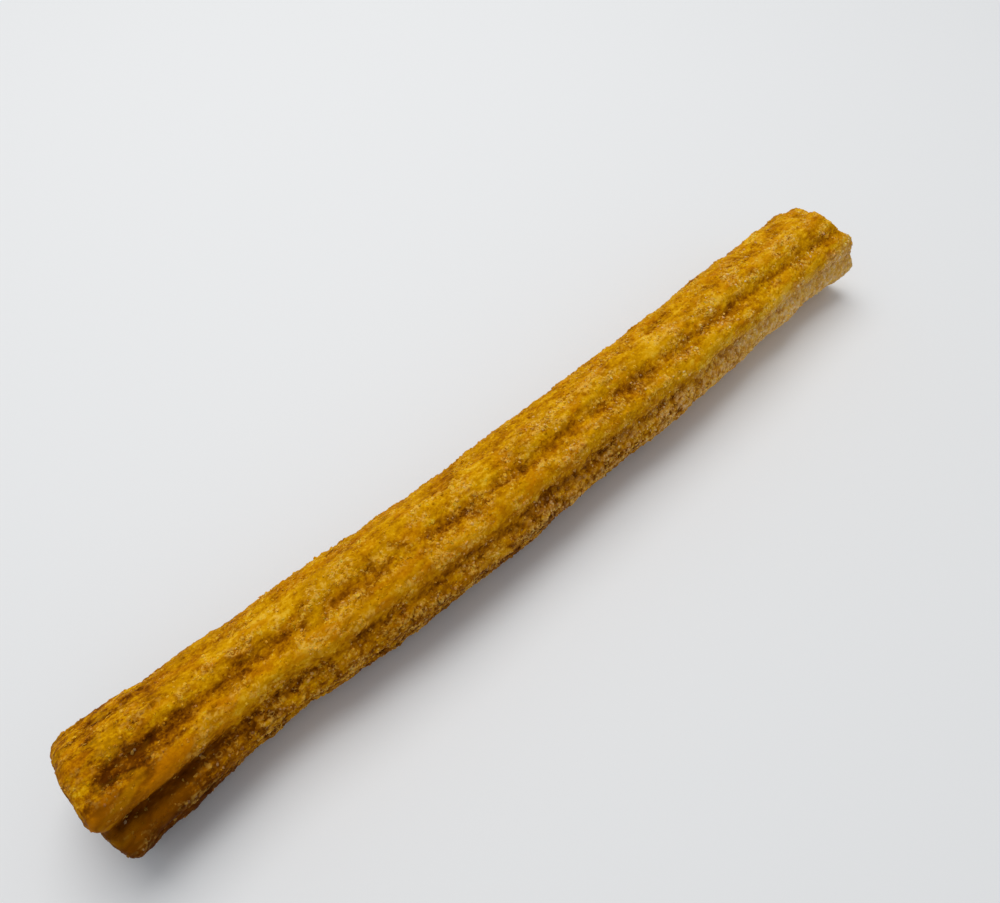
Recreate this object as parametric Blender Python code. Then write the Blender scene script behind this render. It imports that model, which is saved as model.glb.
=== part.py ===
"""A churro: one ridged stick of fried choux dough, lying on its underside.

Metres, +Z up. The stick runs along X, from the near end at -X to the far end at +X. It rests on
z = 0, and the origin is the middle of its bounding box at that height. Angles round the stick are
measured from the top, towards -Y.
"""
import math

import bmesh
import bpy
from mathutils import Vector, noise

MM = 0.001

# The whole stick: a ten-inch length, pressed through a nozzle with eight teeth
LENGTH = 254.0 * MM
CREST_RADIUS = 14.1 * MM
RIDGES = 8

# How the dough wandered as it was fried, station by station along the stick. Bow is the shift
# towards -Y, girth is added to the radius, groove is the depth of the grooves as a share of the
# radius, and twist turns the ridges.
STATIONS = (
    # along, bow mm, girth mm, groove, twist degrees
    (0.00, 0.6, 1.0, 0.20, -3.0),
    (0.06, 0.0, 0.9, 0.22, -3.0),
    (0.12, -0.8, -0.3, 0.21, -4.0),
    (0.17, -0.9, -0.9, 0.20, -5.0),
    (0.24, 0.1, 0.1, 0.17, -5.0),
    (0.32, 1.1, 0.2, 0.16, -5.0),
    (0.42, 1.7, 0.0, 0.17, -4.0),
    (0.52, 1.1, 0.1, 0.16, -2.0),
    (0.63, 0.9, 0.1, 0.17, 1.0),
    (0.73, 0.1, 0.1, 0.18, 4.5),
    (0.84, -0.9, 0.0, 0.19, 8.5),
    (0.94, -1.9, -0.2, 0.18, 12.0),
    (1.00, -1.6, 0.2, 0.13, 14.0),
)

# The ridges are round on top and meet in narrow grooves, and no two are quite alike. One groove
# nearly closed as the stick was fried. The shares run from the groove beside the top ridge, on
# the -Y side, on round to the one on its other side.
GROOVE_ROUNDING = 0.16
GROOVE_SHARES = (1.0, 1.05, 0.9, 1.0, 0.9, 1.0, 0.85, 0.25)
RIDGE_HEIGHT_SPREAD = 0.35 * MM
RIDGE_ANGLE_SPREAD = math.radians(1.6)
WANDERS_PER_LENGTH = 4.0
WANDER_RIDGE_STEP = 7.31
HEIGHT_SEED = 1.5
ANGLE_SEED = 8.5

# Swellings, blisters and pits that stand out by themselves
BULGES = (
    # along, angle degrees, height mm, reach along mm, reach round degrees
    (0.000, 19.0, 1.6, 8.0, 9.0),
    (0.030, 64.0, -1.6, 17.0, 8.0),
    (0.000, 102.0, 2.2, 8.0, 12.0),
    (0.030, -26.0, 0.4, 20.0, 9.0),
    (1.000, 12.0, -0.8, 6.0, 14.0),
    (0.990, -17.0, -1.4, 7.0, 9.0),
    (0.960, -62.0, 1.1, 12.0, 14.0),
    (0.175, 34.0, 0.7, 13.0, 13.0),
    (0.335, 17.0, 1.1, 5.0, 8.0),
    (0.300, -14.0, 0.6, 9.0, 12.0),
    (0.420, 76.0, 0.9, 9.0, 13.0),
    (0.470, 62.0, -0.7, 5.0, 7.0),
    (0.520, 40.0, 0.6, 8.0, 12.0),
    (0.600, -8.0, 0.5, 10.0, 12.0),
    (0.690, 82.0, 0.6, 11.0, 12.0),
    (0.780, 46.0, 0.5, 9.0, 12.0),
    (0.880, 2.0, 0.6, 8.0, 12.0),
    (0.140, -60.0, 0.7, 10.0, 14.0),
    (0.370, -96.0, 0.9, 9.0, 13.0),
    (0.550, -60.0, -0.6, 7.0, 9.0),
    (0.660, -128.0, 0.8, 8.0, 12.0),
    (0.830, -70.0, 0.8, 9.0, 13.0),
    (0.260, 150.0, 0.6, 10.0, 14.0),
    (0.310, 112.0, 0.9, 6.0, 15.0),
    (0.450, 112.0, 1.1, 7.0, 15.0),
    (0.640, 112.0, 1.2, 9.0, 15.0),
    (0.760, 112.0, 0.9, 6.0, 15.0),
)

# The crust's own unevenness: round lumps, and smaller crags parted by creases
LUMP_HEIGHT = 0.8 * MM
LUMP_SIZE = 9.5 * MM
CRAG_HEIGHT = 1.0 * MM
CREASE_DEPTH = 0.25 * MM
CRAG_SIZE = 4.6 * MM
NOISE_OFFSET = Vector((3.7, 11.2, 5.9))

# Both ends were cut and then puffed in the fat. The near one bulges outwards, and the far one has
# a rounded rim round a shallow dish. Each step is a share of the section's size and its depth
# behind the end's outermost plane.
NEAR_END_STEPS = (
    (0.985, 2.9 * MM),
    (0.94, 1.7 * MM),
    (0.85, 0.85 * MM),
    (0.69, 0.35 * MM),
    (0.47, 0.1 * MM),
    (0.23, 0.0 * MM),
)
FAR_END_STEPS = (
    (0.99, 1.6 * MM),
    (0.96, 0.8 * MM),
    (0.89, 0.2 * MM),
    (0.75, 0.0 * MM),
    (0.53, 0.4 * MM),
    (0.28, 1.0 * MM),
)
NEAR_CENTRE_DEPTH = 0.0
FAR_CENTRE_DEPTH = 1.3 * MM
END_BODY_DEPTH = 4.4 * MM

# Neither cut is square. How far each ridge runs past it, from the top ridge on towards -Y, how
# much less the grooves do, and the share of the length over which that dies away.
NEAR_RIDGE_REACH_MM = (-0.2, 0.2, -1.5, -2.2, -1.6, -0.6, -0.9, -0.6)
FAR_RIDGE_REACH_MM = (-2.4, 3.4, 4.2, 3.0, 0.4, 0.3, -1.0, -1.2)
GROOVE_SHORTFALL_MM = 0.3
CUT_SHARE = 0.07

# The soft stick settled along its whole length, so its underside follows the surface below, and
# the ridges that touch it fried flat there
FLAT_DEPTH = 0.8 * MM
SETTLE_RINGS = 6

# The mesh: rings along the stick, and points across each ridge, closer together at the grooves
BODY_RINGS = 96
RIDGE_POINTS = (-0.5, -0.36, -0.19, 0.0, 0.19, 0.36)
SMOOTH_ANGLE = math.radians(50)

CRUST_COLOUR = (0.52, 0.23, 0.02, 1.0)
CRUST_ROUGHNESS = 0.7


def clear_scene():
    for old in list(bpy.data.objects):
        bpy.data.objects.remove(old, do_unlink=True)


def station_value(along, column):
    """One column of the stations at a share of the length, with no corner at a station."""
    along = min(max(along, 0.0), 1.0)
    for low, high in zip(STATIONS, STATIONS[1:]):
        if along <= high[0]:
            share = (along - low[0]) / (high[0] - low[0])
            smooth = share * share * (3.0 - 2.0 * share)
            return low[column] + (high[column] - low[column]) * smooth
    return STATIONS[-1][column]


def ridge_wander(ridge, along, seed):
    """A slow wander from -1 to 1 along one ridge."""
    place = Vector((ridge * WANDER_RIDGE_STEP, along * WANDERS_PER_LENGTH, seed))
    return noise.noise(place)


def section_radius(ridge_share, ridge, along):
    """The dough's radius at a share of one ridge's width, from -0.5 to 0.5 of it."""
    crest = CREST_RADIUS + station_value(along, 2) * MM
    crest += RIDGE_HEIGHT_SPREAD * ridge_wander(ridge, along, HEIGHT_SEED)
    side = ridge if ridge_share > 0 else ridge - 1
    groove = station_value(along, 3) * GROOVE_SHARES[side]
    wave = math.cos(math.pi * ridge_share)
    rounded = math.hypot(wave, GROOVE_ROUNDING) / math.hypot(1.0, GROOVE_ROUNDING)
    return crest * (1.0 - groove * (1.0 - rounded))


def bulge_height(along, angle):
    """What the single swellings and pits add here."""
    total = 0.0
    for centre, turn, height, reach_along, reach_round in BULGES:
        far_along = (along - centre) * LENGTH / (reach_along * MM)
        turned = math.remainder(angle - math.radians(turn), math.tau)
        far_round = turned / math.radians(reach_round)
        total += height * MM * math.exp(-far_along ** 2 - far_round ** 2)
    return total


def crust_height(place):
    """Lumps and crags at a place on the crust."""
    lump = noise.noise(place / LUMP_SIZE + NOISE_OFFSET)
    crag = abs(noise.noise(place / CRAG_SIZE - NOISE_OFFSET))
    return LUMP_HEIGHT * lump + CRAG_HEIGHT * crag - CREASE_DEPTH


def ridge_reach(reaches_mm, ridge, ridge_share):
    """How far past the cut the end runs, on a ridge or between it and its neighbour."""
    neighbour = (ridge + (1 if ridge_share > 0 else -1)) % RIDGES
    groove = (reaches_mm[ridge] + reaches_mm[neighbour]) / 2 - GROOVE_SHORTFALL_MM
    share = math.sin(math.pi * abs(ridge_share)) ** 2
    return (reaches_mm[ridge] * (1.0 - share) + groove * share) * MM


def cut_shift(along, ridge, ridge_share):
    """How far the uneven cuts move a point along X."""
    near = max(0.0, 1.0 - along / CUT_SHARE) ** 2
    far = max(0.0, 1.0 - (1.0 - along) / CUT_SHARE) ** 2
    near_shift = near * ridge_reach(NEAR_RIDGE_REACH_MM, ridge, ridge_share)
    far_shift = far * ridge_reach(FAR_RIDGE_REACH_MM, ridge, ridge_share)
    return far_shift - near_shift


def crust_point(x, ridge, ridge_share, size):
    """One point of the crust. Size shrinks the section, on the way to the middle of an end."""
    along = x / LENGTH + 0.5
    pitch = math.tau / RIDGES
    angle = math.radians(station_value(along, 4)) + (ridge + ridge_share) * pitch
    angle += RIDGE_ANGLE_SPREAD * ridge_wander(ridge, along, ANGLE_SEED)
    radius = section_radius(ridge_share, ridge, along) + bulge_height(along, angle)
    inward = size * radius
    middle_y = -station_value(along, 1) * MM
    place = Vector((x, middle_y - inward * math.sin(angle), inward * math.cos(angle)))
    inward += size * crust_height(place)
    x += size * cut_shift(along, ridge, ridge_share)
    return Vector((x, middle_y - inward * math.sin(angle), inward * math.cos(angle)))


def ring_places():
    """Where each ring lies along X and how large it is, from one end's middle to the other's."""
    near = [(-LENGTH / 2 + depth, size) for size, depth in reversed(NEAR_END_STEPS)]
    span = LENGTH - 2.0 * END_BODY_DEPTH
    body = [(-span / 2 + span * i / (BODY_RINGS - 1), 1.0) for i in range(BODY_RINGS)]
    far = [(LENGTH / 2 - depth, size) for size, depth in FAR_END_STEPS]
    return near + body + far


def make_rings(bm):
    """Every ring of points round the stick."""
    rings = []
    for x, size in ring_places():
        ring = []
        for ridge in range(RIDGES):
            for share in RIDGE_POINTS:
                ring.append(bm.verts.new(crust_point(x, ridge, share, size)))
        rings.append(ring)
    return rings


def close_end(bm, ring, x):
    """A fan of faces from an end's last ring to its middle."""
    height = sum(v.co.z for v in ring) / len(ring)
    side = sum(v.co.y for v in ring) / len(ring)
    middle = bm.verts.new((x, side, height))
    for i, vertex in enumerate(ring):
        bm.faces.new((vertex, ring[(i + 1) % len(ring)], middle))


def settle(rings):
    """Lowers each ring until the underside follows z = 0, and presses it flat there."""
    body = rings[len(NEAR_END_STEPS):len(rings) - len(FAR_END_STEPS)]
    lowest = [min(v.co.z for v in ring) for ring in body]
    for i, ring in enumerate(rings):
        place = min(max(i - len(NEAR_END_STEPS), 0), len(body) - 1)
        nearby = lowest[max(place - SETTLE_RINGS, 0):place + SETTLE_RINGS + 1]
        drop = sum(nearby) / len(nearby) + FLAT_DEPTH
        for vertex in ring:
            vertex.co.z = max(vertex.co.z - drop, 0.0)


def true_up(bm):
    """Centres the stick over the origin and gives it its exact length."""
    for axis in (0, 1):
        low = min(v.co[axis] for v in bm.verts)
        high = max(v.co[axis] for v in bm.verts)
        for vertex in bm.verts:
            vertex.co[axis] -= (low + high) / 2
    stretch = LENGTH / (2.0 * max(v.co.x for v in bm.verts))
    for vertex in bm.verts:
        vertex.co.x *= stretch


def crust_material():
    material = bpy.data.materials.new("fried_dough")
    material.use_nodes = True
    shader = material.node_tree.nodes["Principled BSDF"]
    shader.inputs["Base Color"].default_value = CRUST_COLOUR
    shader.inputs["Roughness"].default_value = CRUST_ROUGHNESS
    shader.inputs["Metallic"].default_value = 0.0
    return material


def make_churro():
    bm = bmesh.new()
    rings = make_rings(bm)
    settle(rings)
    for ring, following in zip(rings, rings[1:]):
        for i, vertex in enumerate(ring):
            j = (i + 1) % len(ring)
            bm.faces.new((vertex, ring[j], following[j], following[i]))
    close_end(bm, rings[0], -LENGTH / 2 + NEAR_CENTRE_DEPTH)
    close_end(bm, rings[-1], LENGTH / 2 - FAR_CENTRE_DEPTH)
    true_up(bm)
    bmesh.ops.triangulate(bm, faces=bm.faces[:], quad_method="SHORT_EDGE")
    bmesh.ops.recalc_face_normals(bm, faces=bm.faces[:])
    mesh = bpy.data.meshes.new("churro")
    bm.to_mesh(mesh)
    bm.free()
    mesh.shade_smooth()
    mesh.set_sharp_from_angle(angle=SMOOTH_ANGLE)
    mesh.materials.append(crust_material())
    churro = bpy.data.objects.new("churro", mesh)
    bpy.context.scene.collection.objects.link(churro)
    return churro


clear_scene()
make_churro()
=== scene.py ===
import math
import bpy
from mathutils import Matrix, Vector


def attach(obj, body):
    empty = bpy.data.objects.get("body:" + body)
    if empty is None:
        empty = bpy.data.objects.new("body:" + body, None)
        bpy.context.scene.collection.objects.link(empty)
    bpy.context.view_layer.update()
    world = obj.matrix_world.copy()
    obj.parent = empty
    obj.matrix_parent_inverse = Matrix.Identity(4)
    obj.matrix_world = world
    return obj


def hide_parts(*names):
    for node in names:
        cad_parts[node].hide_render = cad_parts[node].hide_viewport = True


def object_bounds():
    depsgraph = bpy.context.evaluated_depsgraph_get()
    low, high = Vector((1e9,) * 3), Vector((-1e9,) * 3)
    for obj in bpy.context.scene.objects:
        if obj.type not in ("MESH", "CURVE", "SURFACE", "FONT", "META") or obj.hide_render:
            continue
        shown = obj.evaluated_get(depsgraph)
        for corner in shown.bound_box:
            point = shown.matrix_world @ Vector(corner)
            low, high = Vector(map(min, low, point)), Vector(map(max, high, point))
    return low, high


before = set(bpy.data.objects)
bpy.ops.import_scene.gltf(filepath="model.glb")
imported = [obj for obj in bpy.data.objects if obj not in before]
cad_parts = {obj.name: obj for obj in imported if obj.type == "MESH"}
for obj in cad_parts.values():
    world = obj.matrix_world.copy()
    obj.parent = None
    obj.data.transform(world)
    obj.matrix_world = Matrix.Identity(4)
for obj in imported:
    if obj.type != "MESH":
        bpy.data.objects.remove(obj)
from types import SimpleNamespace

import bpy
from mathutils import Quaternion, Vector

cad_low, cad_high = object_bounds()


# Camera
# It looks down along the stick from above its near end, tipped a little to one side, and is so
# close that the near end looks much thicker than the far end.
MM = 0.001
CAMERA_PLACE = Vector((-0.0947, -0.0949, 0.1877))
CAMERA_TURN = math.radians(51.2)
CAMERA_DIP = math.radians(52.2)
CAMERA_ROLL = math.radians(-4.2)
SENSOR_WIDTH = 36.0
LENS = 30.6
SHIFT_ACROSS = 0.02
SHIFT_UP = 0.0085
NEAREST_SEEN = 5.0 * MM

level_way = Vector((math.cos(CAMERA_TURN), math.sin(CAMERA_TURN), 0.0))
looking = level_way * math.cos(CAMERA_DIP) - Vector((0.0, 0.0, math.sin(CAMERA_DIP)))
camera_data = bpy.data.cameras.new("camera")
camera_data.sensor_width = SENSOR_WIDTH
camera_data.lens = LENS
camera_data.shift_x = SHIFT_ACROSS
camera_data.shift_y = SHIFT_UP
camera_data.clip_start = NEAREST_SEEN
camera = bpy.data.objects.new("camera", camera_data)
camera.location = CAMERA_PLACE
camera.rotation_mode = "QUATERNION"
camera.rotation_quaternion = looking.to_track_quat("-Z", "Y") @ Quaternion((0, 0, 1), CAMERA_ROLL)
bpy.context.scene.collection.objects.link(camera)
bpy.context.scene.camera = camera


# Crust
# The stick's skin: choux dough pressed through a toothed nozzle and fried, so that its ridges turn golden
# and its grooves brown; painted shade darkens its grooves, low sides and near end, and painted light pales
# its front towards the far end. It is one skin, finer than the solid that it follows: the solid's own form,
# rounded, with knuckles, crags, clumps and streaks raised on it.
ALONG, ACROSS, UP = 0, 1, 2
NEAR_TIP = cad_low[ALONG]
SKIN_MESH = 0.56 * MM
WELD_GAP = 0.01 * MM
RELIEF = {
    "Knuckle Size": 3.6 * MM,
    "Knuckle Height": 0.22 * MM,
    "Knuckle Stretch": 0.45,
    "Crag Size": 1.8 * MM,
    "Crag Height": 0.32 * MM,
    "Clump Size": 1.6 * MM,
    "Clump Height": 0.38 * MM,
    "Clump Wobble": 0.9,
    "Streak Size": 1.3 * MM,
    "Streak Height": 0.10 * MM,
    "Streak Stretch": 0.12,
    "Coat Patch": 3.6 * MM,
    "Coat Stretch": 0.55,
    "Near Tip": NEAR_TIP,
    "Smooth Reach": 45.0 * MM,
    "Frost Top": 20.5 * MM,
    "Frost Bottom": 15.5 * MM,
    "Frost Wander": 6.0 * MM,
    "Frost Drop": 4.0 * MM,
    "Frost Drop Width": 8.0 * MM,
    "Flat Foot": 1.5 * MM,
    "Sunk": 0.18 * MM,
    "Floor Gap": 0.02 * MM,
    "Ridge Blur": 110,
    "Crag Blur": 7,
}
GROOVE_DEPTH = -1.1 * MM
CREST_RISE = 0.7 * MM

# From dark brown, fried dough to pale sugar, and the colours that lie over it.
SHADES = (
    (0.00, (0.030, 0.005, 0.0003)),
    (0.18, (0.110, 0.026, 0.0005)),
    (0.36, (0.235, 0.073, 0.0008)),
    (0.56, (0.420, 0.160, 0.0004)),
    (0.70, (0.550, 0.240, 0.0006)),
    (0.85, (0.700, 0.345, 0.0020)),
    (1.00, (0.810, 0.460, 0.0250)),
)
# Grooves lie lower on the ramp than crests: partly browner dough, partly painted shade.
GROOVE_SHADE = 0.46
CREST_SHADE = 0.72
DARKEST_SHADE = 0.155
GOLD = (0.63, 0.305, 0.001, 1.0)
ORANGE = (0.58, 0.195, 0.001, 1.0)
CREAM = (0.84, 0.49, 0.085, 1.0)
FROST = (0.59, 0.355, 0.135, 1.0)
PALE_FROST = (0.88, 0.64, 0.36, 1.0)
OILY_SHEEN = (1.0, 0.65, 0.20, 1.0)
SHEEN_STRENGTH = 0.01
COATED_ROUGHNESS = 0.65
OILY_ROUGHNESS = 0.40
PORE_SIZE = 0.45 * MM
PORE_DEPTH = 0.18 * MM
PORE_STRENGTH = 0.6


class Term:
    """A value in a node tree, which Python sums can be written with."""

    def __init__(self, tree, socket=None):
        self.tree = tree
        self.socket = socket

    def node(self, kind, settings=None, values=None, output=0):
        """Adds one node and returns one of its outputs, by its place among those in use."""
        made = self.tree.nodes.new(kind)
        for name, setting in (settings or {}).items():
            if name == "stops":
                ramp = made.color_ramp
                while len(ramp.elements) < len(setting):
                    ramp.elements.new(1.0)
                for stop, (place, colour) in zip(ramp.elements, setting):
                    stop.position = place
                    stop.color = (*colour, 1.0)
            else:
                setattr(made, name, setting)
        for name, value in (values or {}).items():
            if isinstance(name, str):
                socket = next(s for s in made.inputs if s.name == name and s.enabled)
            else:
                socket = made.inputs[name]
            if isinstance(value, Term):
                self.tree.links.new(value.socket, socket)
            else:
                socket.default_value = value
        outputs = [s for s in made.outputs if s.enabled]
        return Term(self.tree, outputs[output] if outputs else None)

    def math(self, operation, *others, first=None):
        terms = (self, *others) if first is None else (first, self)
        return self.node("ShaderNodeMath", {"operation": operation}, dict(enumerate(terms)))

    def __add__(self, other):
        return self.math("ADD", other)

    __radd__ = __add__

    def __sub__(self, other):
        return self.math("SUBTRACT", other)

    def __rsub__(self, other):
        return self.math("SUBTRACT", first=other)

    def __mul__(self, other):
        return self.math("MULTIPLY", other)

    __rmul__ = __mul__

    def __rtruediv__(self, other):
        return self.math("DIVIDE", first=other)

    def clamped(self, low, high):
        """0 where this is at low, 1 at high, and smooth between."""
        settings = {"interpolation_type": "SMOOTHSTEP"}
        values = {"Value": self, "From Min": low, "From Max": high}
        return self.node("ShaderNodeMapRange", settings, values)

    def axis(self, number):
        """How far this vector goes along one axis."""
        return self.node("ShaderNodeSeparateXYZ", None, {"Vector": self}, number)

    def vector(self, operation, *others):
        values = dict(enumerate((self, *others)))
        return self.node("ShaderNodeVectorMath", {"operation": operation}, values)

    def scaled(self, factor):
        return self.node("ShaderNodeVectorMath", {"operation": "SCALE"}, {0: self, "Scale": factor})

    def mix(self, other, factor):
        """This colour, going over to the other one as the factor rises."""
        settings = {"data_type": "RGBA", "clamp_factor": True}
        return self.node("ShaderNodeMix", settings, {"Factor": factor, "A": self, "B": other})


def geometry_tree(name, values):
    """A geometry tree with a geometry input and one input for each of the named values."""
    tree = bpy.data.node_groups.new(name, "GeometryNodeTree")
    tree.interface.new_socket("Geometry", in_out="INPUT", socket_type="NodeSocketGeometry")
    for label, value in values.items():
        if isinstance(value, bpy.types.Material):
            kind = "NodeSocketMaterial"
        elif isinstance(value, int):
            kind = "NodeSocketInt"
        else:
            kind = "NodeSocketFloat"
        tree.interface.new_socket(label, in_out="INPUT", socket_type=kind)
    tree.interface.new_socket("Geometry", in_out="OUTPUT", socket_type="NodeSocketGeometry")
    begin = tree.nodes.new("NodeGroupInput")
    given = {s.name: Term(tree, s) for s in begin.outputs if s.name}
    return tree, given


def close_tree(geometry, material):
    """Ends a geometry tree with what it makes, as one real mesh in its material."""
    real = geometry.node("GeometryNodeRealizeInstances", None, {"Geometry": geometry})
    finished = real.node("GeometryNodeSetMaterial", None, {"Geometry": real, "Material": material})
    end = geometry.tree.nodes.new("NodeGroupOutput")
    geometry.tree.links.new(finished.socket, end.inputs["Geometry"])


def settle_mesh(piece):
    """Turns a piece's modifiers into its mesh."""
    seen = piece.evaluated_get(bpy.context.evaluated_depsgraph_get())
    mesh = bpy.data.meshes.new_from_object(seen, preserve_all_data_layers=True,
                                           depsgraph=bpy.context.evaluated_depsgraph_get())
    piece.modifiers.clear()
    piece.data = mesh


def run_tree(piece, tree, values):
    """Runs a tree on a piece and leaves the result as its plain mesh."""
    modifier = piece.modifiers.new(tree.name, "NODES")
    modifier.node_group = tree
    for item in tree.interface.items_tree:
        if item.in_out == "INPUT" and item.name in values:
            modifier[item.identifier] = values[item.name]
    settle_mesh(piece)


def relief_tree(values):
    """Raises knuckles, crags, clumps and streaks, and notes what the colours and sugar follow."""
    tree, given = geometry_tree("crust relief", values)
    start = Term(tree)
    place = start.node("GeometryNodeInputPosition")
    normal = start.node("GeometryNodeInputNormal")
    height = place.axis(UP)

    def noise(vector, size, detail, seed, output=0):
        moved = vector.scaled(1.0 / size).vector("ADD", (seed, -seed, seed * 0.5))
        return start.node("ShaderNodeTexNoise", {"noise_dimensions": "3D"},
                          {"Vector": moved, "Scale": 1.0, "Detail": detail}, output)

    def drawn_out(share):
        stretch = start.node("ShaderNodeCombineXYZ", None, {"X": share, "Y": 1.0, "Z": 1.0})
        return place.vector("MULTIPLY", stretch)

    # Rough beyond the smooth near end, coated in patches there, and frosted low on the sides
    rough = (place.axis(ALONG) - given["Near Tip"]).clamped(0.0, given["Smooth Reach"])
    coat = noise(drawn_out(given["Coat Stretch"]), given["Coat Patch"], 3.0, 2.0)
    wander = (noise(place, given["Frost Wander"], 3.0, 6.0) - 0.5) * given["Frost Wander"] * 1.8
    drop = place.axis(ACROSS).clamped(0.0, given["Frost Drop Width"]) * given["Frost Drop"]
    level = height + wander + drop
    frost = (1.0 - level.clamped(given["Frost Bottom"], given["Frost Top"])) * rough

    # Each kind of relief is noise of a size of its own, and its height says how far it stands out
    knuckle = noise(drawn_out(given["Knuckle Stretch"]), given["Knuckle Size"], 1.5, 4.0)
    crag = (noise(place, given["Crag Size"], 2.0, 9.0) * 2.0 - 1.0).math("ABSOLUTE")
    streak = noise(drawn_out(given["Streak Stretch"]), given["Streak Size"], 1.0, 3.0)
    wobble = noise(place, given["Clump Size"], 0.0, 1.0, 1).vector("SUBTRACT", (0.5, 0.5, 0.5))
    cells = place.scaled(1.0 / given["Clump Size"])
    cells = cells.vector("ADD", wobble.scaled(given["Clump Wobble"]))
    clump = start.node("ShaderNodeTexVoronoi", {"feature": "SMOOTH_F1"},
                       {"Vector": cells, "Scale": 1.0, "Smoothness": 0.25})
    clumpy = 0.38 + rough * coat.clamped(0.42, 0.58) * 0.25 + frost * 0.55
    rise = (crag * 3.0 - 0.6) * given["Crag Height"] * (0.55 + rough * 0.45)
    rise = rise + (0.5 - clump) * given["Clump Height"] * clumpy
    rise = rise + (streak * 2.0 - 1.0) * given["Streak Height"] * (1.6 - rough)
    rise = rise + (knuckle * 2.0 - 1.0) * given["Knuckle Height"] - given["Sunk"]
    rise = rise * height.clamped(0.0, given["Flat Foot"])
    raised = start.node("GeometryNodeSetPosition", None,
                        {"Geometry": given["Geometry"], "Offset": normal.scaled(rise)})

    def standing(blur):
        """How far a place stands above the blurred skin round it."""
        blurred = start.node("GeometryNodeBlurAttribute", {"data_type": "FLOAT_VECTOR"},
                             {"Value": place, "Iterations": given[blur]})
        return place.vector("SUBTRACT", blurred).vector("DOT_PRODUCT", normal)

    marks = (
        ("ridge", standing("Ridge Blur")), ("crag", standing("Crag Blur")), ("coat", coat),
        ("clump", clump), ("frost", frost), ("rough", rough), ("streak", streak),
    )
    noted = raised
    for name, value in marks:
        noted = start.node("GeometryNodeStoreNamedAttribute",
                           {"data_type": "FLOAT", "domain": "POINT"},
                           {"Geometry": noted, "Name": name, "Value": value})

    # The foot is pressed flat: what would reach below the gap to the floor is lifted to it
    under = (given["Floor Gap"] - height).math("MAXIMUM", 0.0)
    lift = start.node("ShaderNodeCombineXYZ", None, {"Z": under})
    rested = start.node("GeometryNodeSetPosition", None, {"Geometry": noted, "Offset": lift})
    smooth = start.node("GeometryNodeSetShadeSmooth", None, {"Geometry": rested})
    close_tree(smooth, given["Skin"])
    return tree


def shader_start(name):
    """A new material and the first term of its tree."""
    material = bpy.data.materials.new(name)
    material.use_nodes = True
    material.node_tree.nodes.clear()
    return material, Term(material.node_tree)


def finish_shader(start, values):
    """A Principled BSDF with these values, and the output."""
    surface = start.node("ShaderNodeBsdfPrincipled", None, values)
    start.node("ShaderNodeOutputMaterial", None, {"Surface": surface})


def pattern(place, size, detail=2.0, rough=0.5, seed=0.0):
    """Soft noise with features of a real size, centred on 0.5."""
    moved = place.vector("ADD", (seed, seed * 0.7, -seed))
    values = {"Vector": moved, "Scale": 1.0 / size, "Detail": detail, "Roughness": rough}
    return place.node("ShaderNodeTexNoise", {"noise_dimensions": "3D"}, values)


def noted_value(start, name):
    """One of the values that the trees have noted on a mesh."""
    return start.node("ShaderNodeAttribute", {"attribute_name": name}, None, 2)


def object_place(start):
    """A place on the stick, in metres from its middle."""
    return start.node("ShaderNodeTexCoord", None, None, 3)


def stick_zones(start):
    """Where a place is on the stick, as shares from 0 to 1 that rise between two places in mm."""
    place = object_place(start)
    tip = NEAR_TIP / MM

    def share(axis, first, last):
        return place.axis(axis).clamped(first * MM, last * MM)

    return SimpleNamespace(
        tip=1.0 - share(ALONG, tip, tip + 21.0),
        smooth_patch=share(ALONG, -108.0, -94.0) - share(ALONG, -76.0, -60.0),
        far_half=share(ALONG, -60.0, 60.0),
        sugared=share(ALONG, -50.0, 110.0),
        tail=share(ALONG, 25.0, 95.0),
        flank=1.0 - share(ACROSS, -12.0, -7.0),
        side=1.0 - share(ACROSS, -13.0, -4.0),
        front=1.0 - share(ACROSS, -8.0, 4.0),
        back=share(ACROSS, 1.0, 9.0),
        low=1.0 - share(UP, 12.0, 25.0),
    )


def crust_form(start):
    """What the relief has noted: crests, pits, clumps, and where the dough is bare or coated."""
    crag = noted_value(start, "crag")
    return SimpleNamespace(
        crest=noted_value(start, "ridge").clamped(GROOVE_DEPTH, CREST_RISE),
        pit=1.0 - crag.clamped(-0.16 * MM, 0.02 * MM),
        knob=crag.clamped(0.0, 0.14 * MM),
        clump=noted_value(start, "clump"),
        streak=noted_value(start, "streak"),
        # The near end: the darkening it brings is partly browner frying, partly painted shade.
        fried_and_shaded=1.0 - noted_value(start, "rough"),
        frost=noted_value(start, "frost"),
        coat=noted_value(start, "coat"),
    )


def crust_patterns(start, form):
    """Mottling of several sizes, most of it drawn out along the stick as the dough was."""
    place = object_place(start)
    drawn_out = place.vector("MULTIPLY", (0.5, 1.0, 1.0))
    off_line = (pattern(place, 1.5 * MM, detail=1.5, rough=0.55, seed=31.0) - 0.5).math("ABSOLUTE")
    broken = pattern(place, 1.1 * MM, detail=1.0, seed=17.0).clamped(0.44, 0.56)
    fleck = pattern(place, 0.85 * MM, detail=1.5, seed=13.0).clamped(0.42, 0.56)
    return SimpleNamespace(
        speckle=pattern(place, 0.60 * MM, rough=0.6, seed=2.0),
        mottle=pattern(drawn_out, 1.5 * MM, detail=2.5, rough=0.6, seed=5.0),
        patch=pattern(drawn_out, 4.5 * MM, seed=1.0),
        gold=pattern(drawn_out, 6.0 * MM, detail=1.0, seed=9.0).clamped(0.52, 0.66),
        tone=pattern(drawn_out, 3.4 * MM, detail=1.5, seed=21.0),
        fleck=fleck * form.knob,
        thread=(1.0 - off_line.clamped(0.0, 0.08)) * broken * (1.0 - form.fried_and_shaded),
    )


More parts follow.
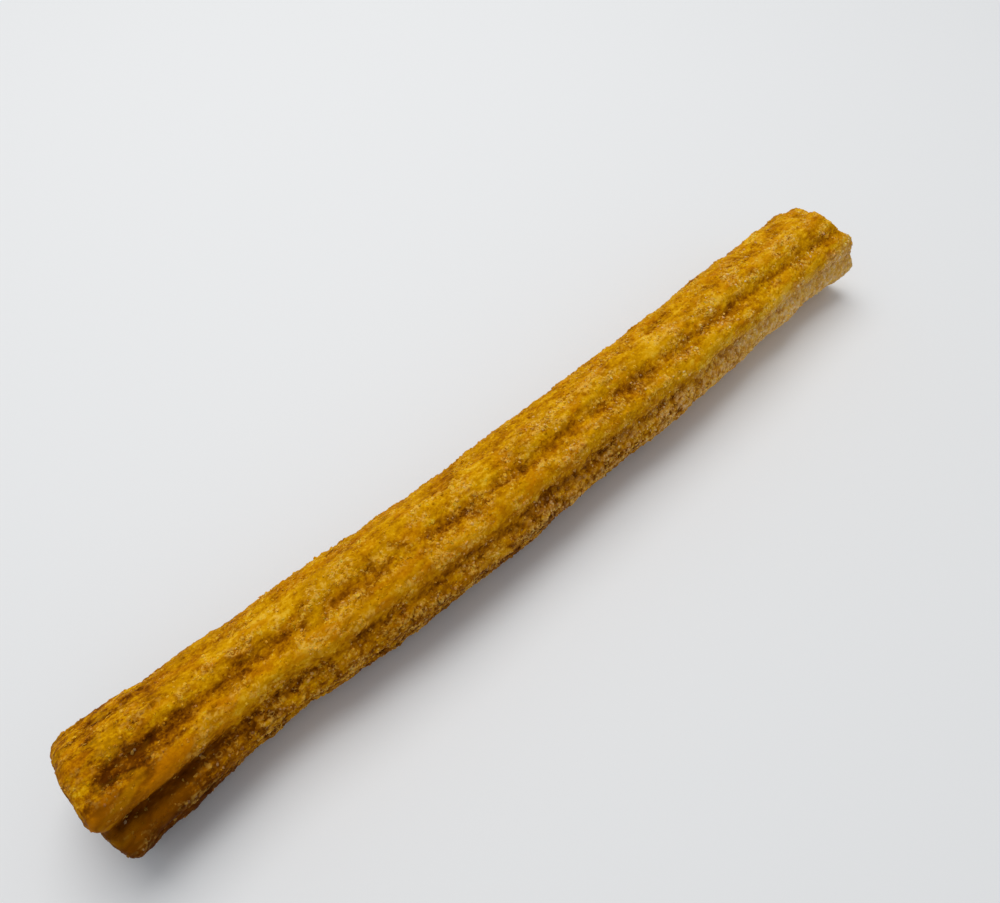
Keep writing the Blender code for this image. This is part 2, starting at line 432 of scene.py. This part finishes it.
def crust_shade(zone, form, grain, lift):
    """How light the crust is, as a place on the ramp of its shades."""
    crest = form.crest
    groove = 1.0 - crest
    high = 1.0 - zone.low
    fried_and_shaded = form.fried_and_shaded
    mottling = (grain.speckle - 0.5) * (0.45 + fried_and_shaded * 0.55)
    mottling = mottling + (grain.mottle - 0.5) * (0.95 + fried_and_shaded * 0.35)
    mottling = mottling + (grain.patch - 0.5) * 0.5 + (form.streak - 0.5) * fried_and_shaded * 0.35
    mottling = mottling + (grain.thread - 0.2) * 0.14 + grain.gold * crest * 0.10

    # Darker low down, in pits and grooves, at the near end and between clumps of frosting: painted shade,
    # except that the grooves and near end are partly browner from frying
    browned_and_shaded = zone.low * (0.18 + (1.0 - zone.far_half) * crest * 0.09)
    browned_and_shaded = browned_and_shaded + form.pit * 0.08 + groove * high * 0.08
    browned_and_shaded = browned_and_shaded + fried_and_shaded * (0.16 + groove * 0.12 + zone.side * (0.22 + crest * 0.20))
    browned_and_shaded = browned_and_shaded + fried_and_shaded * groove * (1.0 - zone.side) * 0.14
    browned_and_shaded = browned_and_shaded + zone.tip * (zone.side * 0.32 + zone.low * crest * 0.10 + 0.04)
    browned_and_shaded = browned_and_shaded + form.clump.clamped(0.40, 0.78) * form.frost * (0.24 - zone.tail * 0.08)

    # Painted light: paler in the grooves of one patch near the tip, whose front crest is paler too, and on
    # the front towards the far end, in its grooves and low down
    paled_and_lit = zone.smooth_patch * (zone.side * crest * 0.14 + groove * 0.12)
    far_front_light = groove * 0.18 + zone.low * 0.29 + crest * high * 0.05
    paled_and_lit = paled_and_lit + zone.tail * zone.front * far_front_light
    paled_and_lit = paled_and_lit + zone.far_half * zone.flank * (groove * 0.25 + zone.low * 0.06)

    shade = crest * (CREST_SHADE - GROOVE_SHADE) + GROOVE_SHADE + lift
    shade = shade + mottling - browned_and_shaded + paled_and_lit
    return shade.math("MAXIMUM", (grain.mottle - 0.5) * 0.5 + DARKEST_SHADE)


def crust_colour(start, lift):
    """Brown in the grooves, gold and orange on the ridges, creamy where sugar lies over them."""
    zone = stick_zones(start)
    form = crust_form(start)
    grain = crust_patterns(start, form)
    shade = crust_shade(zone, form, grain, lift)
    colour = shade.node("ShaderNodeValToRGB", {"stops": SHADES}, {"Fac": shade})

    upper_crest = form.crest * (1.0 - zone.low)
    warm = (1.0 - grain.tone.clamped(0.36, 0.50)) * 0.40
    warm = warm + zone.side * (1.0 - zone.far_half) * 0.50
    colour = colour.mix(GOLD, grain.tone.clamped(0.52, 0.66) * upper_crest * 0.40)
    colour = colour.mix(ORANGE, warm * upper_crest)

    film = form.coat.clamped(0.46, 0.58) * form.crest * (1.0 - form.fried_and_shaded * 0.6)
    film = film * (1.0 - zone.back * 0.7)
    colour = colour.mix(CREAM, film * grain.fleck * 0.40)
    colour = colour.mix(CREAM, film * grain.thread * 0.55)

    bare = form.clump.clamped(0.25, 0.60) * (1.0 - zone.tail * 0.35)
    dusted = form.frost * (1.0 - bare) * zone.sugared
    colour = colour.mix(FROST, dusted * (0.30 + zone.tail * 0.20 + grain.mottle * 0.60))
    pale = grain.fleck * 0.45 + grain.thread * 0.35 + zone.tail * 0.10
    return colour.mix(PALE_FROST, dusted * pale)


def crust_material():
    """The bare skin, dull where it is coated and a little oily where it is not."""
    material, start = shader_start("fried_crust")
    pores = pattern(object_place(start), PORE_SIZE, rough=0.6, seed=7.0)
    bump = start.node("ShaderNodeBump", None,
                      {"Strength": PORE_STRENGTH, "Distance": PORE_DEPTH, "Height": pores})
    coated = noted_value(start, "coat").clamped(0.44, 0.56)
    finish_shader(start, {
        "Base Color": crust_colour(start, 0.0), "Normal": bump,
        "Roughness": coated * (COATED_ROUGHNESS - OILY_ROUGHNESS) + OILY_ROUGHNESS,
        "Specular IOR Level": SHEEN_STRENGTH, "Specular Tint": OILY_SHEEN,
    })
    return material


crust_skin = crust_material()
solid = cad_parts["churro"]
crust = bpy.data.objects.new("crust", solid.data.copy())
bpy.context.scene.collection.objects.link(crust)
weld = crust.modifiers.new("weld", "WELD")
weld.merge_threshold = WELD_GAP
rounding = crust.modifiers.new("rounding", "SUBSURF")
rounding.levels = 1
rounding.render_levels = 1
fine_mesh = crust.modifiers.new("fine mesh", "REMESH")
fine_mesh.mode = "VOXEL"
fine_mesh.voxel_size = SKIN_MESH
fine_mesh.use_smooth_shade = True
settle_mesh(crust)
relief_values = {**RELIEF, "Skin": crust_skin}
run_tree(crust, relief_tree(relief_values), relief_values)
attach(crust, "root")
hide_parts("churro")


# Sugar
# Crystals of sugar that the hot, oily crust has taken hold of: thin chips and rounded lumps, at
# every angle and sunk in the crust, thickly on the low sides and thinly where it is oily. Among
# them are crumbs of the crust itself, and specks of ground cinnamon.
GRAIN_FLOOR = 0.7 * MM
SUGAR_SHEEN = (1.0, 0.80, 0.45, 1.0)
SUGAR_CLEARNESS = 0.6
LIGHT_REACH = 0.35 * MM
LIGHT_REACH_BY_COLOUR = (1.0, 0.7, 0.3)
TINT_SPREAD = 0.20


def scatter_tree(name, shape, shape_values, faceted, values):
    """Grains over a surface, turned and sized at random, each with a tint of its own."""
    tree, given = geometry_tree(name, values)
    start = Term(tree)
    height = start.node("GeometryNodeInputPosition").axis(UP)

    def found(label):
        return start.node("GeometryNodeInputNamedAttribute", {"data_type": "FLOAT"}, {"Name": label})

    def over(least, share):
        """A share that runs from a least value up to 1."""
        return least + (1.0 - least) * share

    def chance(low, high, seed):
        return start.node("FunctionNodeRandomValue", {"data_type": "FLOAT"},
                          {"Min": low, "Max": high, "Seed": given["Seed"] + seed})

    crest = found("ridge").clamped(GROOVE_DEPTH, CREST_RISE)
    share = over(given["Bare Share"], found("coat").clamped(0.49, 0.60))
    share = share * (1.0 + crest * given["On Crests"]) + found("frost") * given["On Frost"]
    share = share * over(given["Near End Share"], found("rough"))
    share = share * height.clamped(given["Floor"], given["Floor"] * 2.0)
    scattered = start.node("GeometryNodeDistributePointsOnFaces", {"distribute_method": "RANDOM"},
                           {"Mesh": given["Geometry"], "Density": given["Density"] * share,
                            "Seed": given["Seed"]})
    outward = Term(tree, scattered.socket.node.outputs["Normal"])
    facing = Term(tree, scattered.socket.node.outputs["Rotation"])

    low = 1.0 - given["Spread"]
    high = 1.0 + given["Spread"]
    stretch = start.node("ShaderNodeCombineXYZ", None,
                         {"X": chance(low, high, 1.0), "Y": chance(low, high, 2.0),
                          "Z": chance(low, high, 3.0) * given["Thickness"]})
    whole = chance(low, high, 4.0) * given["Size"]
    tip = start.node("ShaderNodeCombineXYZ", None,
                     {"X": chance(-1.0, 1.0, 5.0) * given["Tip"],
                      "Y": chance(-1.0, 1.0, 6.0) * given["Tip"],
                      "Z": chance(0.0, math.tau, 7.0)})
    tipped = start.node("FunctionNodeEulerToRotation", None, {"Euler": tip})
    turn = start.node("FunctionNodeRotateRotation", {"rotation_space": "LOCAL"},
                      {"Rotation": facing, "Rotate By": tipped})
    sunk = start.node("GeometryNodeSetPosition", None,
                      {"Geometry": scattered,
                       "Offset": outward.scaled(given["Size"] * given["Sunk"] * -1.0)})
    tinted = start.node("GeometryNodeStoreNamedAttribute",
                        {"data_type": "FLOAT", "domain": "POINT"},
                        {"Geometry": sunk, "Name": "tint", "Value": chance(0.0, 1.0, 9.0)})
    grain = start.node("GeometryNodeSetShadeSmooth", None,
                       {"Geometry": start.node(shape, None, shape_values),
                        "Shade Smooth": not faceted})
    grains = start.node("GeometryNodeInstanceOnPoints", None,
                        {"Points": tinted, "Instance": grain,
                         "Rotation": turn, "Scale": stretch.scaled(whole)})
    close_tree(grains, given["Finish"])
    return tree


def chip_tree(values):
    """Thin chips with eight flat facets."""
    return scatter_tree("chips", "GeometryNodeMeshUVSphere",
                        {"Segments": 4, "Rings": 2, "Radius": 0.6}, True, values)


def lump_tree(values):
    """Small lumps, shaded round."""
    return scatter_tree("lumps", "GeometryNodeMeshIcoSphere",
                        {"Radius": 0.5, "Subdivisions": 1}, False, values)


def sugar_material(name, lift, pale, pale_share, rough, shine):
    """Sugar that lets the crust's colour through, each grain as pale as its own tint makes it."""
    material, start = shader_start(name)
    zone = stick_zones(start)
    own = noted_value(start, "tint")
    paler = own * own * (zone.sugared * 0.7 + 0.3) * pale_share * (1.0 - zone.back * 0.6)
    colour = crust_colour(start, (own - 0.5) * TINT_SPREAD + lift)
    finish_shader(start, {
        "Base Color": colour.mix(pale, paler),
        "Roughness": rough + own * 0.2, "Specular IOR Level": shine,
        "Specular Tint": SUGAR_SHEEN, "Subsurface Weight": SUGAR_CLEARNESS,
        "Subsurface Radius": LIGHT_REACH_BY_COLOUR, "Subsurface Scale": LIGHT_REACH,
    })
    return material


def scatter(name, make_tree, density, finish, **settings):
    """Scatters one kind of grain over the crust.

    The density is in grains to a square mm of a coated groove. The settings go to the tree's
    inputs of the same names.
    """
    values = {label.replace("_", " ").title(): setting for label, setting in settings.items()}
    values.update({"Density": density / MM ** 2, "Floor": GRAIN_FLOOR, "Finish": finish})
    grains = bpy.data.objects.new(name, crust.data.copy())
    bpy.context.scene.collection.objects.link(grains)
    run_tree(grains, make_tree(values), values)
    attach(grains, "root")


scatter(
    "crust_crumbs", lump_tree, density=0.14, finish=crust_skin,
    size=0.9 * MM, spread=0.4, thickness=0.6, tip=0.7, sunk=0.18,
    on_crests=0.3, on_frost=1.2, bare_share=0.4, near_end_share=0.4, seed=5,
)
scatter(
    "sugar_flakes", chip_tree, density=0.42,
    finish=sugar_material("sugar_flakes", lift=0.10, pale=CREAM, pale_share=0.95, rough=0.35, shine=0.02),
    size=0.80 * MM, spread=0.45, thickness=0.30, tip=0.35, sunk=0.06,
    on_crests=0.6, on_frost=0.3, bare_share=0.08, near_end_share=0.45, seed=11,
)
scatter(
    "sugar_crystals", lump_tree, density=0.12,
    finish=sugar_material("sugar_crystals", lift=0.10, pale=CREAM, pale_share=0.9, rough=0.2, shine=0.04),
    size=0.66 * MM, spread=0.35, thickness=0.8, tip=0.7, sunk=0.12,
    on_crests=0.3, on_frost=0.5, bare_share=0.6, near_end_share=0.4, seed=37,
)
scatter(
    "sugar_grains", chip_tree, density=0.50,
    finish=sugar_material("sugar_grains", lift=0.08, pale=CREAM, pale_share=0.6, rough=0.4, shine=0.02),
    size=0.50 * MM, spread=0.4, thickness=0.45, tip=0.5, sunk=0.12,
    on_crests=0.4, on_frost=1.4, bare_share=0.20, near_end_share=0.55, seed=23,
)
scatter(
    "frosting", lump_tree, density=0.52,
    finish=sugar_material("frosting", lift=0.08, pale=PALE_FROST, pale_share=0.8, rough=0.4, shine=0.06),
    size=0.74 * MM, spread=0.4, thickness=0.6, tip=0.7, sunk=0.16,
    on_crests=0.0, on_frost=1.0, bare_share=0.0, near_end_share=0.1, seed=43,
)
scatter(
    "cinnamon_specks", chip_tree, density=0.05,
    finish=sugar_material("cinnamon_specks", lift=-0.32, pale=CREAM, pale_share=0.0, rough=0.6, shine=0.12),
    size=0.30 * MM, spread=0.4, thickness=0.35, tip=0.3, sunk=0.0,
    on_crests=0.0, on_frost=0.3, bare_share=0.8, near_end_share=0.6, seed=51,
)


# Floor and light
# A plain pale floor, one large soft lamp above and a little behind the stick, and an even pale
# surround.
FLOOR_HALF = 3.0
FLOOR_COLOUR = (0.82, 0.83, 0.84, 1.0)
FLOOR_ROUGHNESS = 0.6
LAMP_WAY = Vector((0.12, 0.35, 0.93)).normalized()
LAMP_REACH = 1.0
LAMP_WIDTH = 0.9
LAMP_WATTS = 6.3
LAMP_COLOUR = (1.0, 0.98, 0.95)
SURROUND_COLOUR = (0.93, 0.96, 1.0, 1.0)
SURROUND_STRENGTH = 0.47

corners = [(-1, -1), (1, -1), (1, 1), (-1, 1)]
floor_mesh = bpy.data.meshes.new("floor")
floor_mesh.from_pydata([(x * FLOOR_HALF, y * FLOOR_HALF, 0.0) for x, y in corners], [], [(0, 1, 2, 3)])
floor = bpy.data.objects.new("floor", floor_mesh)
bpy.context.scene.collection.objects.link(floor)
floor_paint, floor_start = shader_start("floor")
finish_shader(floor_start, {"Base Color": FLOOR_COLOUR, "Roughness": FLOOR_ROUGHNESS})
floor_mesh.materials.append(floor_paint)

lamp_data = bpy.data.lights.new("soft_lamp", "AREA")
lamp_data.shape = "DISK"
lamp_data.size = LAMP_WIDTH
lamp_data.energy = LAMP_WATTS
lamp_data.color = LAMP_COLOUR
lamp = bpy.data.objects.new("soft_lamp", lamp_data)
lamp.location = LAMP_WAY * LAMP_REACH
lamp.rotation_euler = (-LAMP_WAY).to_track_quat("-Z", "Y").to_euler()
bpy.context.scene.collection.objects.link(lamp)

world = bpy.data.worlds.new("surround")
bpy.context.scene.world = world
world.use_nodes = True
background = world.node_tree.nodes["Background"]
background.inputs["Color"].default_value = SURROUND_COLOUR
background.inputs["Strength"].default_value = SURROUND_STRENGTH
bpy.context.scene.view_settings.view_transform = "Standard"
